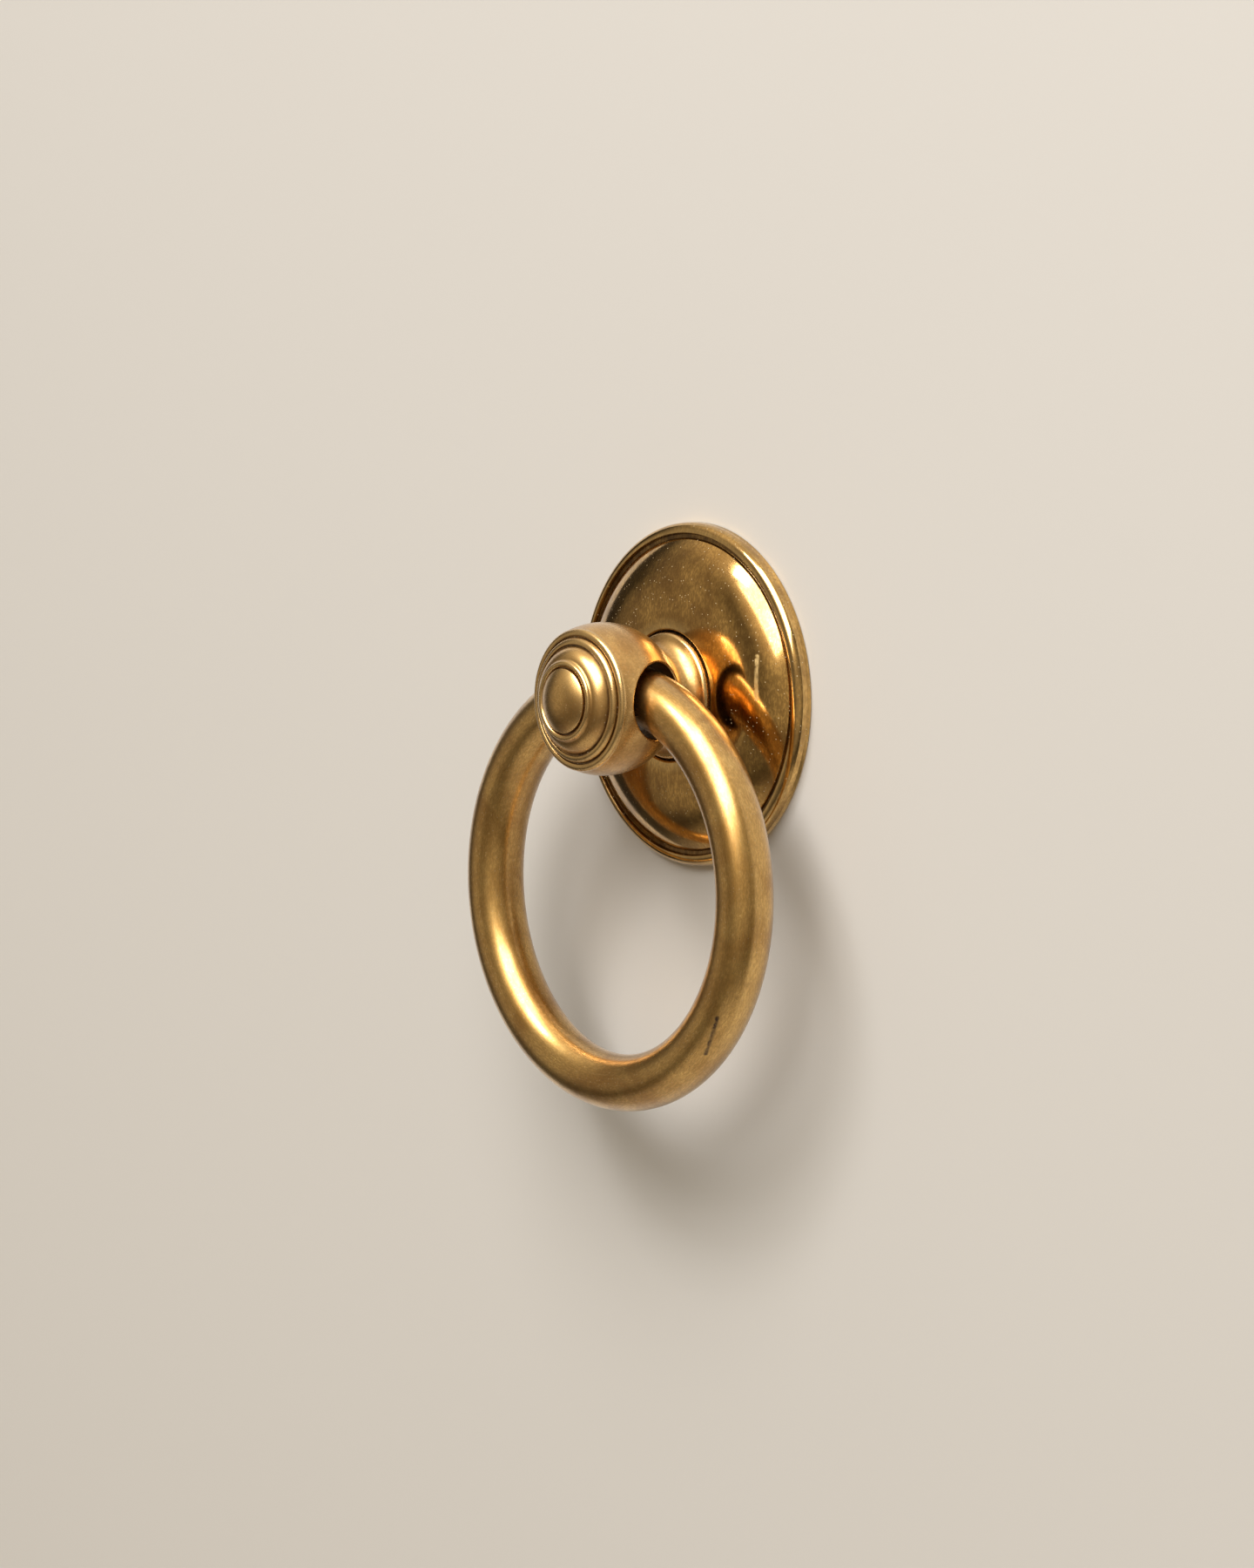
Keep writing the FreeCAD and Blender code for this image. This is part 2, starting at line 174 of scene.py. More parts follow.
def outlineMasks(line):
    # along: length of the outline so far; hollow and crest: how far each point lies in a groove or on an edge
    along = [0.0]
    for a, b in zip(line, line[1:]):
        along.append(along[-1] + (b - a).length)
    turns = [0.0] * len(line)
    for i in range(1, len(line) - 1):
        before, after = line[i] - line[i - 1], line[i + 1] - line[i]
        turns[i] = math.atan2(before.x * after.y - before.y * after.x, before.dot(after))
    reach = outlineSettings["softening"]
    bends = []
    for place in along:
        weights = [math.exp(-((place - other) / reach) ** 2) for other in along]
        bends.append(sum(w * t for w, t in zip(weights, turns)) / (reach * math.sqrt(math.pi)))
    full = outlineSettings["sharpest"]
    crest = [max(0.0, min(1.0, bend / full)) for bend in bends]
    hollow = [max(0.0, min(1.0, -bend / full)) for bend in bends]
    return along, hollow, crest


# meshes and the trees that grow them

meshSettings = dict(mergeReach=0.001, sliver=0.0001, sharpAngle=math.radians(38))


def lineMesh(name, line):
    mesh = bpy.data.meshes.new(name)
    mesh.from_pydata([(p.x * mm, p.y * mm, 0) for p in line], [(i, i + 1) for i in range(len(line) - 1)], [])
    for label, values in zip(markNames, outlineMasks(line)):
        mesh.attributes.new(label, "FLOAT", "POINT").data.foreach_set("value", values)
    return mesh


def settle(mesh):
    # closes seams and poles, turns the faces outwards and leaves only true edges sharp
    shape = bmesh.new()
    shape.from_mesh(mesh)
    bmesh.ops.remove_doubles(shape, verts=shape.verts, dist=meshSettings["mergeReach"] * mm)
    bmesh.ops.dissolve_degenerate(shape, edges=shape.edges, dist=meshSettings["sliver"] * mm)
    bmesh.ops.recalc_face_normals(shape, faces=shape.faces)
    shape.to_mesh(mesh)
    shape.free()
    mesh.shade_smooth()
    mesh.set_sharp_from_angle(angle=meshSettings["sharpAngle"])


def addObject(name, mesh):
    piece = bpy.data.objects.new(name, mesh)
    bpy.context.scene.collection.objects.link(piece)
    return piece


def grownMesh(piece, tree, values):
    # runs the tree on the piece and keeps the result as its plain mesh
    modifier = piece.modifiers.new(tree.name, "NODES")
    modifier.node_group = tree
    for item in tree.interface.items_tree:
        if item.in_out == "INPUT" and item.name in values:
            modifier[item.identifier] = values[item.name]
    bpy.context.view_layer.update()
    depsgraph = bpy.context.evaluated_depsgraph_get()
    mesh = bpy.data.meshes.new_from_object(piece.evaluated_get(depsgraph))
    piece.modifiers.remove(modifier)
    mesh.name = piece.name
    piece.data = mesh
    settle(mesh)


def lattice(tree, rows, turns):
    # a grid, the row of each of its points along the piece, and the point's share of the way round
    columns = put(tree, "FunctionNodeIntegerMath", {0: turns, 1: 1}, operation="ADD").outputs[0]
    grid = put(tree, "GeometryNodeMeshGrid", {"Vertices X": rows, "Vertices Y": columns}).outputs["Mesh"]
    index = put(tree, "GeometryNodeInputIndex").outputs[0]
    row = put(tree, "FunctionNodeIntegerMath", {0: index, 1: columns}, operation="DIVIDE").outputs[0]
    column = put(tree, "FunctionNodeIntegerMath", {0: index, 1: columns}, operation="MODULO").outputs[0]
    return grid, row, calc(tree, "DIVIDE", column, turns)


def wrapped(tree, grid, radius, y, around):
    # the grid, laid round the axis
    angle = calc(tree, "MULTIPLY", around, math.tau)
    x = calc(tree, "MULTIPLY", radius, calc(tree, "COSINE", angle))
    z = calc(tree, "MULTIPLY", radius, calc(tree, "SINE", angle))
    wires = {"Geometry": grid, "Position": joined(tree, x, y, z)}
    return put(tree, "GeometryNodeSetPosition", wires).outputs[0]


def storeMark(tree, piece, label, value):
    wires = {"Geometry": piece, "Name": label}
    stored = put(tree, "GeometryNodeStoreNamedAttribute", wires, data_type="FLOAT")
    tree.links.new(value, pick(stored.inputs, "Value"))
    return stored.outputs[0]


def dressed(tree, piece, finish):
    # one closed mesh with its finish
    wires = {"Geometry": piece, "Distance": meshSettings["mergeReach"] * mm}
    whole = put(tree, "GeometryNodeMergeByDistance", wires).outputs[0]
    whole = put(tree, "GeometryNodeRealizeInstances", {"Geometry": whole}).outputs[0]
    return put(tree, "GeometryNodeSetMaterial", {"Geometry": whole, "Material": finish}).outputs[0]


# shader groups shared by the metals

def noised(tree, place, scale, detail, roughness=0.5, distortion=0.0):
    wires = {"Vector": place, "Scale": scale, "Detail": detail,
             "Roughness": roughness, "Distortion": distortion}
    return put(tree, "ShaderNodeTexNoise", wires).outputs


def celled(tree, place, scale):
    return put(tree, "ShaderNodeTexVoronoi", {"Vector": place, "Scale": scale}, feature="F1").outputs


def channel(tree, colour, index):
    return put(tree, "ShaderNodeSeparateColor", {0: colour}).outputs[index]


lineSettings = dict(detail=4.0, turnedRoughness=0.65, rodRoughness=0.6)


def makeTurningLines():
    takes = [("Place", "Vector", None), ("Along", "Float", 0.0), ("Lines per mm", "Float", 6.0)]
    tree, given, out = newTree("turningLines", "ShaderNodeTree", takes, [("Lines", "Float")])
    parts = split(tree, given["Place"])
    sides = split(tree, vectored(tree, "NORMALIZE", joined(tree, parts[0], 0.0, parts[2])))
    depth = calc(tree, "MULTIPLY", given["Along"], given["Lines per mm"])
    place = joined(tree, sides[0], depth, sides[2])
    lines = noised(tree, place, 1.0, lineSettings["detail"], lineSettings["turnedRoughness"])
    tree.links.new(lines[0], out["Lines"])
    return tree


def makeRodLines():
    takes = [("Place", "Vector", None), ("Ring radius", "Float", 22.0), ("Lines per mm", "Float", 4.0),
             ("Length", "Float", 6.0)]
    gives = [("Lines", "Float"), ("Stretched", "Vector")]
    tree, given, out = newTree("rodLines", "ShaderNodeTree", takes, gives)
    parts = split(tree, given["Place"])
    reach = vectored(tree, "LENGTH", joined(tree, parts[0], 0.0, parts[2]), output="Value")
    across = calc(tree, "SUBTRACT", reach, given["Ring radius"])
    turn = calc(tree, "ARCTAN2", parts[0], calc(tree, "MULTIPLY", parts[2], -1.0))
    length = calc(tree, "MULTIPLY", turn, given["Ring radius"])
    length = calc(tree, "DIVIDE", length, given["Length"])
    close = split(tree, scaled(tree, joined(tree, across, parts[1]), given["Lines per mm"]))
    place = joined(tree, close[0], close[1], length)
    lines = noised(tree, place, 1.0, lineSettings["detail"], lineSettings["rodRoughness"])
    tree.links.new(lines[0], out["Lines"])
    tree.links.new(joined(tree, across, parts[1], length), out["Stretched"])
    return tree


toneSettings = dict(
    cloudNoise=dict(detail=5.0, roughness=0.6, distortion=0.4), cloudEdges=(0.3, 0.7),
    speckleNoise=dict(detail=3.0, roughness=0.7), speckleTop=0.75, speckleDrop=0.4, speckleFade=0.16,
    pitsPerMm=1.3, pitEdges=(0.04, 0.1), pitChance=0.72,
    dustPerMm=2.6, dustEdges=(0.10, 0.22), dustChance=0.42, dustCloud=0.5,
)


def makeAgedTone():
    takes = [("Place", "Vector", None), ("Streaked", "Vector", None), ("Cloud size", "Float", 0.16),
             ("Speckle size", "Float", 4.0), ("Speckle share", "Float", 0.4)]
    gives = [("Clouds", "Float"), ("Speckle", "Float"), ("Pits", "Float"), ("Dust", "Float")]
    tree, given, out = newTree("agedTone", "ShaderNodeTree", takes, gives)
    tone = toneSettings
    billows = noised(tree, given["Place"], given["Cloud size"], **tone["cloudNoise"])[0]
    clouds = ranged(tree, billows, tone["cloudEdges"], easing="SMOOTHSTEP")

    speckle = noised(tree, given["Streaked"], given["Speckle size"], **tone["speckleNoise"])[0]
    drop = calc(tree, "MULTIPLY", given["Speckle share"], tone["speckleDrop"])
    upper = calc(tree, "SUBTRACT", tone["speckleTop"], drop)
    flecks = ranged(tree, speckle, (calc(tree, "SUBTRACT", upper, tone["speckleFade"]), upper))

    cells = celled(tree, given["Place"], tone["pitsPerMm"])
    pits = ranged(tree, cells["Distance"], tone["pitEdges"], (1.0, 0.0))
    chance = calc(tree, "GREATER_THAN", channel(tree, cells["Color"], 0), tone["pitChance"])

    # dust lodges mostly in the patina, where the clouds are low
    specks = celled(tree, given["Place"], tone["dustPerMm"])
    grains = ranged(tree, specks["Distance"], tone["dustEdges"], (1.0, 0.0))
    limit = calc(tree, "MULTIPLY_ADD", clouds, tone["dustCloud"], tone["dustChance"])
    lodged = calc(tree, "GREATER_THAN", channel(tree, specks["Color"], 1), limit)

    tree.links.new(clouds, out["Clouds"])
    tree.links.new(flecks, out["Speckle"])
    tree.links.new(calc(tree, "MULTIPLY", pits, chance), out["Pits"])
    tree.links.new(calc(tree, "MULTIPLY", grains, lodged), out["Dust"])
    return tree


handlingAndShadeSettings = dict(raggedPerMm=1.1, detail=4.0, edges=(0.3, 0.7), levels=(0.55, 1.0))


def makeHandlingAndShade():
    # hollows get grime in the grooves and painted shade on the cross hole's wall; crests get rubbed bright
    takes = [("Place", "Vector", None), ("Hollow", "Float", 0.0), ("Crest", "Float", 0.0)]
    gives = [("GrimeAndShade", "Float"), ("Rubbed", "Float")]
    tree, given, out = newTree("handlingAndShade", "ShaderNodeTree", takes, gives)
    ragged = noised(tree, given["Place"], handlingAndShadeSettings["raggedPerMm"], handlingAndShadeSettings["detail"])[0]
    edge = ranged(tree, ragged, handlingAndShadeSettings["edges"], handlingAndShadeSettings["levels"])
    tree.links.new(calc(tree, "MULTIPLY", given["Hollow"], edge, clamp=True), out["GrimeAndShade"])
    tree.links.new(calc(tree, "MULTIPLY", given["Crest"], edge, clamp=True), out["Rubbed"])
    return tree


hairSettings = dict(thinEdges=(0.02, 0.1), chanceEdges=(0.5, 0.9))


def makeHairScratches():
    takes = [("Place", "Vector", None), ("Length", "Float", 7.0), ("Per mm", "Float", 0.5),
             ("Lean", "Float", 0.0)]
    tree, given, out = newTree("hairScratches", "ShaderNodeTree", takes, [("Scratches", "Float")])
    wires = {"Vector": given["Place"], "Angle": given["Lean"]}
    parts = split(tree, put(tree, "ShaderNodeVectorRotate", wires, rotation_type="Y_AXIS").outputs[0])
    rise = calc(tree, "DIVIDE", parts[2], given["Length"])
    cells = celled(tree, joined(tree, parts[0], parts[1], rise), given["Per mm"])
    thin = ranged(tree, cells["Distance"], hairSettings["thinEdges"], (1.0, 0.0))
    some = ranged(tree, channel(tree, cells["Color"], 1), hairSettings["chanceEdges"])
    tree.links.new(calc(tree, "MULTIPLY", thin, some), out["Scratches"])
    return tree


scarSettings = dict(
    raggedPerMm=1.6, detail=3.0, noiseMean=(0.5, 0.5, 0.5), shake=0.35,
    core=0.4,  # share of the width that is marked in full
    brokenEdges=(0.35, 0.6), brokenLevels=(0.5, 1.0),
)


def makeScar():
    # one scratch, a ragged line from point to point
    takes = [("Place", "Vector", None), ("From", "Vector", None), ("To", "Vector", None),
             ("Width", "Float", 0.2), ("Axes", "Vector", None)]
    tree, given, out = newTree("scar", "ShaderNodeTree", takes, [("Scar", "Float")])
    ragged = noised(tree, given["Place"], scarSettings["raggedPerMm"], scarSettings["detail"])
    shaken = vectored(tree, "SUBTRACT", ragged[1], scarSettings["noiseMean"])
    place = vectored(tree, "ADD", given["Place"], scaled(tree, shaken, scarSettings["shake"]))
    offset = vectored(tree, "MULTIPLY", vectored(tree, "SUBTRACT", place, given["From"]), given["Axes"])
    line = vectored(tree, "MULTIPLY", vectored(tree, "SUBTRACT", given["To"], given["From"]), given["Axes"])
    share = calc(tree, "DIVIDE", vectored(tree, "DOT_PRODUCT", offset, line, "Value"),
                 vectored(tree, "DOT_PRODUCT", line, line, "Value"), clamp=True)
    apart = vectored(tree, "DISTANCE", offset, scaled(tree, line, share), "Value")
    inner = calc(tree, "MULTIPLY", given["Width"], scarSettings["core"])
    mask = ranged(tree, apart, (inner, given["Width"]), (1.0, 0.0))
    broken = ranged(tree, ragged[0], scarSettings["brokenEdges"], scarSettings["brokenLevels"])
    tree.links.new(calc(tree, "MULTIPLY", mask, broken), out["Scar"])
    return tree


turningLines = makeTurningLines()
rodLines = makeRodLines()
agedTone = makeAgedTone()
handlingAndShade = makeHandlingAndShade()
hairScratches = makeHairScratches()
scar = makeScar()
print("shader groups ready")


# metal finishes

def blended(tree, share, first, second):
    node = put(tree, "ShaderNodeMix", data_type="RGBA")
    sockets = [socket for socket in node.inputs if socket.enabled]
    for socket, value in zip(sockets, (share, first, second)):
        feed(tree, socket, (*value, 1) if isinstance(value, tuple) else value)
    return next(socket for socket in node.outputs if socket.enabled)


def grouped(tree, group, wires):
    node = tree.nodes.new("ShaderNodeGroup")
    node.node_tree = group
    for place, value in wires.items():
        feed(tree, node.inputs[place], value)
    return node.outputs


def metalFinish(name, finish, centre, bent=False):
    material = bpy.data.materials.new(name)
    material.use_nodes = True
    tree = material.node_tree
    tree.nodes.clear()
    wires = {"Vector": put(tree, "ShaderNodeTexCoord").outputs["Object"], "Scale": (1 / mm,) * 3,
             "Location": tuple(-part / mm for part in centre)}
    place = put(tree, "ShaderNodeMapping", wires).outputs[0]
    along, hollow, crest = [put(tree, "ShaderNodeAttribute", attribute_name=label).outputs["Fac"]
                            for label in markNames]
    if bent:
        grain = grouped(tree, rodLines, {
            "Place": place, "Ring radius": finish["ringRadius"],
            "Lines per mm": finish["linesPerMm"], "Length": finish["lineLength"]})
        streaked = grain["Stretched"]
    else:
        grain = grouped(tree, turningLines, {
            "Place": place, "Along": along, "Lines per mm": finish["linesPerMm"]})
        streaked = put(tree, "ShaderNodeMapping", {"Vector": place, "Scale": finish["strokes"]}).outputs[0]
    aged = grouped(tree, agedTone, {
        "Place": place, "Streaked": streaked, "Cloud size": finish["cloudSize"],
        "Speckle size": finish["speckleSize"], "Speckle share": finish["speckleShare"]})
    worn = grouped(tree, handlingAndShade, {"Place": place, "Hollow": hollow, "Crest": crest})
    hairs = grouped(tree, hairScratches, {
        "Place": streaked, "Length": finish["scratchLength"],
        "Per mm": finish["scratchPerMm"], "Lean": finish["scratchLean"]})

    # grime and painted shade: the hollow layer darkens grooves with grime and the cross hole's wall with
    # painted shade
    layers = [
        (aged["Speckle"], finish["speckleTone"], "spotted"), (worn["Rubbed"], finish["rubbedTone"], "bright"),
        (hairs["Scratches"], finish["scratchTone"], "bright"), (worn["GrimeAndShade"], finish["grimeAndShadeTone"], "grimeAndShade"),
        (aged["Pits"], finish["pitTone"], "grimeAndShade"),
    ]
    roughened = [
        (grain["Lines"], finish["grainRough"]), (aged["Clouds"], -finish["cloudRough"]),
        (aged["Speckle"], finish["speckleRough"]), (worn["GrimeAndShade"], finish["grimeAndShadeRough"]),
        (hairs["Scratches"], finish["scratchRough"]),
    ]
    for mark in finish["scars"]:
        line = grouped(tree, scar, {
            "Place": place, "From": mark["start"], "To": mark["end"],
            "Width": mark["width"], "Axes": mark["axes"]})["Scar"]
        layers.append((line, mark["tone"], mark["colour"]))
        roughened.append((line, mark["rough"]))

    toned = blended(tree, aged["Clouds"], finish["patina"], finish["metal"])
    grainShare = ranged(tree, grain["Lines"], finish["grainEdges"], (0.0, finish["grainTone"]))
    toned = blended(tree, grainShare, toned, finish["bright"])
    for mask, share, colour in layers:
        toned = blended(tree, calc(tree, "MULTIPLY", mask, share), toned, finish[colour])
    settled = calc(tree, "MULTIPLY_ADD", worn["GrimeAndShade"], finish["grimeAndShadeDust"], finish["dustTone"])
    dusty = calc(tree, "MULTIPLY", aged["Dust"], settled)
    toned = blended(tree, dusty, toned, finish["dust"])
    bare = calc(tree, "SUBTRACT", 1.0, dusty, clamp=True)

    rough = finish["rough"] - finish["grainRough"] / 2
    for mask, share in roughened:
        rough = calc(tree, "MULTIPLY_ADD", mask, share, rough)
    rough = calc(tree, "MULTIPLY_ADD", worn["Rubbed"], -finish["rubbedSmooth"], rough, clamp=True)

    height = calc(tree, "MULTIPLY", grain["Lines"], finish["grainHeight"])
    for mask, depth in ((aged["Speckle"], finish["speckleHeight"]), (aged["Pits"], finish["pitHeight"]),
                        (hairs["Scratches"], finish["scratchHeight"])):
        height = calc(tree, "MULTIPLY_ADD", mask, -depth, height)
    bump = put(tree, "ShaderNodeBump", {"Strength": 1.0, "Distance": mm, "Height": height})

    shader = put(tree, "ShaderNodeBsdfPrincipled", {
        "Base Color": toned, "Metallic": bare, "Roughness": rough, "Normal": bump.outputs[0],
        "Coat Weight": finish["lacquer"], "Coat Roughness": finish["lacquerRough"],
        "Coat IOR": finish["lacquerIor"]})
    output = tree.nodes.new("ShaderNodeOutputMaterial")
    tree.links.new(shader.outputs[0], output.inputs["Surface"])
    return material


agedBrass = dict(
    metal=(0.83, 0.51, 0.165), patina=(0.48, 0.235, 0.05), bright=(0.90, 0.66, 0.31),
    # the dark colour below serves pits, the ring's nick, grime in grooves and the painted shade on the cross
    # hole's wall
    spotted=(0.27, 0.14, 0.03), grimeAndShade=(0.055, 0.023, 0.006), dust=(0.82, 0.70, 0.48),
    linesPerMm=7.0, grainEdges=(0.35, 0.65), grainTone=0.12, grainRough=0.05, grainHeight=0.0003,
    cloudSize=0.17, cloudRough=0.05,
    speckleSize=3.2, speckleShare=0.45, speckleTone=0.3, speckleRough=0.05, speckleHeight=0.0001,
    rough=0.30, grimeAndShadeTone=0.9, grimeAndShadeRough=0.25, grimeAndShadeDust=0.7, rubbedTone=0.5, rubbedSmooth=0.06,
    scratchLength=7.0, scratchPerMm=0.45, scratchLean=0.2,
    scratchTone=0.4, scratchRough=0.05, scratchHeight=0.0006,
    pitTone=0.5, pitHeight=0.002, dustTone=0.25, lacquer=0.9, lacquerRough=0.26, lacquerIor=1.5,
    strokes=(1, 1, 1), scars=[],
)


# the rose, turned by a tree from its half section

roseLow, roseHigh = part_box("backplate")
rose = dict(
    outside=roseHigh.x / mm, rim=-roseLow.y / mm,  # outside radius, and height of the seat's rim
    edge=0.75, beadWidth=1.17, beadRise=1.1,
    quirkWidth=0.68, quirkSlope=0.12, quirkDepth=0.3,
    fieldHeight=1.65, shoulderWidth=5.0, shoulderRise=2.45, shoulderRadius=10.0,
    rimRounding=0.3, seatRadius=7.3, seatFloor=2.0, bore=4.18,
    easing=0.07, turns=288,
)


def chordSwell(radius, start, end):
    return radius - math.sqrt(radius ** 2 - (Vector(end) - Vector(start)).length_squared / 4)


def leaning(start, end):
    # lean of the chord, walked towards the axis
    return math.atan2(end[1] - start[1], start[0] - end[0])


def roseOutline(size):
    crest = size["edge"] + size["beadRise"]
    quirkOut = size["outside"] - size["beadWidth"]
    fieldOut = quirkOut - size["quirkWidth"]
    quirkFloor = size["fieldHeight"] - size["quirkDepth"]
    fieldIn = size["seatRadius"] + size["rimRounding"]
    beadRadius = (size["beadWidth"] ** 2 + size["beadRise"] ** 2) / (2 * size["beadWidth"])
    beadSwell = chordSwell(beadRadius, (size["outside"], size["edge"]), (quirkOut, crest))
    field, rim = (fieldOut, size["fieldHeight"]), (fieldIn, size["rim"])
    crown = (fieldOut - size["shoulderWidth"], size["fieldHeight"] + size["shoulderRise"])
    shoulderChord, crownChord = math.dist(field, crown), math.dist(crown, rim)
    shoulderSwell = chordSwell(size["shoulderRadius"], field, crown)
    crownStart = leaning(field, crown) - math.asin(shoulderChord / 2 / size["shoulderRadius"])
    crownSwell = crownChord / 2 * math.tan((crownStart - leaning(crown, rim)) / 2)
    rimSwell = size["rimRounding"] * (1 - math.cos(math.pi / 4))  # a quarter round
    return [
        (size["bore"], 0, 0),
        (size["outside"], 0, 0),
        (size["outside"], size["edge"], 0),
        (quirkOut, crest, -beadSwell),
        (quirkOut - size["quirkSlope"], quirkFloor, 0),
        (fieldOut + size["quirkSlope"], quirkFloor, 0),
        (*field, 0),
        (*crown, -shoulderSwell),
        (*rim, -crownSwell),
        (size["seatRadius"], size["rim"] - size["rimRounding"], -rimSwell),
        (size["seatRadius"], size["seatFloor"], 0),
        (size["bore"], size["seatFloor"], 0),
        (size["bore"], 0, 0),
    ]


def makeTurnedTree():
    takes = [("Half section", "Geometry", None), ("Turns", "Int", 128), ("Finish", "Material", None)]
    tree, given, out = newTree("turnedFromSection", "GeometryNodeTree", takes, [("Piece", "Geometry")])
    section = given["Half section"]
    count = put(tree, "GeometryNodeAttributeDomainSize", {"Geometry": section}).outputs["Point Count"]
    grid, row, around = lattice(tree, count, given["Turns"])

    def sampled(value, kind):
        wires = {"Geometry": section, "Index": row}
        sample = put(tree, "GeometryNodeSampleIndex", wires, data_type=kind)
        tree.links.new(value, pick(sample.inputs, "Value"))
        return pick(sample.outputs, "Value")

    corner = split(tree, sampled(put(tree, "GeometryNodeInputPosition").outputs[0], "FLOAT_VECTOR"))
    piece = wrapped(tree, grid, corner[0], calc(tree, "MULTIPLY", corner[1], -1.0), around)
    for label in markNames:
        named = put(tree, "GeometryNodeInputNamedAttribute", {"Name": label}, data_type="FLOAT")
        piece = storeMark(tree, piece, label, sampled(pick(named.outputs, "Attribute"), "FLOAT"))
    tree.links.new(dressed(tree, piece, given["Finish"]), out["Piece"])
    return tree


roseBrass = dict(
    agedBrass, metal=(0.87, 0.535, 0.165), patina=(0.33, 0.17, 0.04),
    rough=0.115, grainRough=0.04, grainTone=0.1, lacquer=0.45, lacquerRough=0.12, dustTone=0.6,
    cloudSize=0.2, strokes=(1, 1, 0.4),
    speckleSize=4.0, speckleShare=0.5, speckleTone=0.6, speckleRough=0.06,
    scratchLength=5.0, scratchPerMm=1.8, scratchLean=0.05, scratchTone=0.75, scratchRough=0.2,
    scars=[dict(start=(14.0, -3.4, 5.0), end=(14.2, -3.6, 0.3), width=0.34, axes=(1, 0.35, 1),
                tone=0.9, rough=0.3, colour="bright")],
)
roseFinish = metalFinish("roseBrass", roseBrass, (0, 0, 0))
roseLine = easedOutline(roseOutline(rose), rose["easing"])
turnedRose = addObject("turnedRose", lineMesh("roseSection", roseLine))
grownMesh(turnedRose, makeTurnedTree(), {"Turns": rose["turns"], "Finish": roseFinish})
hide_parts("backplate")
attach(turnedRose, "fixed_base")
print("rose turned:", len(turnedRose.data.polygons), "faces")


# the post: turned behind and in front of the ball, with the ball's zone meshed round its cross hole

swing = frame["joints"][0]
post = dict(
    holeAxis=-swing["pos_m"][1] / mm,  # distance of the cross hole in front of the back face
    holeRadius=4.2573, holeRounding=0.2, ballWall=4.25,
    neckRadius=5.2, neckLength=0.12,
    collarRadius=7.05, collarFoot=2.0, collarTop=4.6, collarTurn=75, collarRoll=0.5,
    boreRadius=2.03, boreEnd=6.131, spigotRadius=4.03, spigotEnd=0.3, spigotChamfer=0.3,
    faceLand=0.95, lipWidth=0.8, lipRise=0.5, lipSwell=0.27,
    lineWidth=0.18, lineDepth=0.22,
    reedWidth=0.73, reedRise=0.5, reedSwell=0.26,
    ovoloWidth=1.28, ovoloRise=1.12, ovoloSwell=0.2,
    dipWidth=0.32, dipRise=0.3, dipSwell=0.06,
    rollWidth=0.64, rollSwell=0.2,
    bossGap=0.2, bossSink=0.28, bossSide=0.5, bossDome=1.13,
    mouthWear=0.8, wallShade=4,  # crest on the hole's round, and how fast painted shade fills its wall
    easing=0.05, turns=256, meridianSteps=72, zoneRings=22, roundSteps=6, wallSteps=10,
)


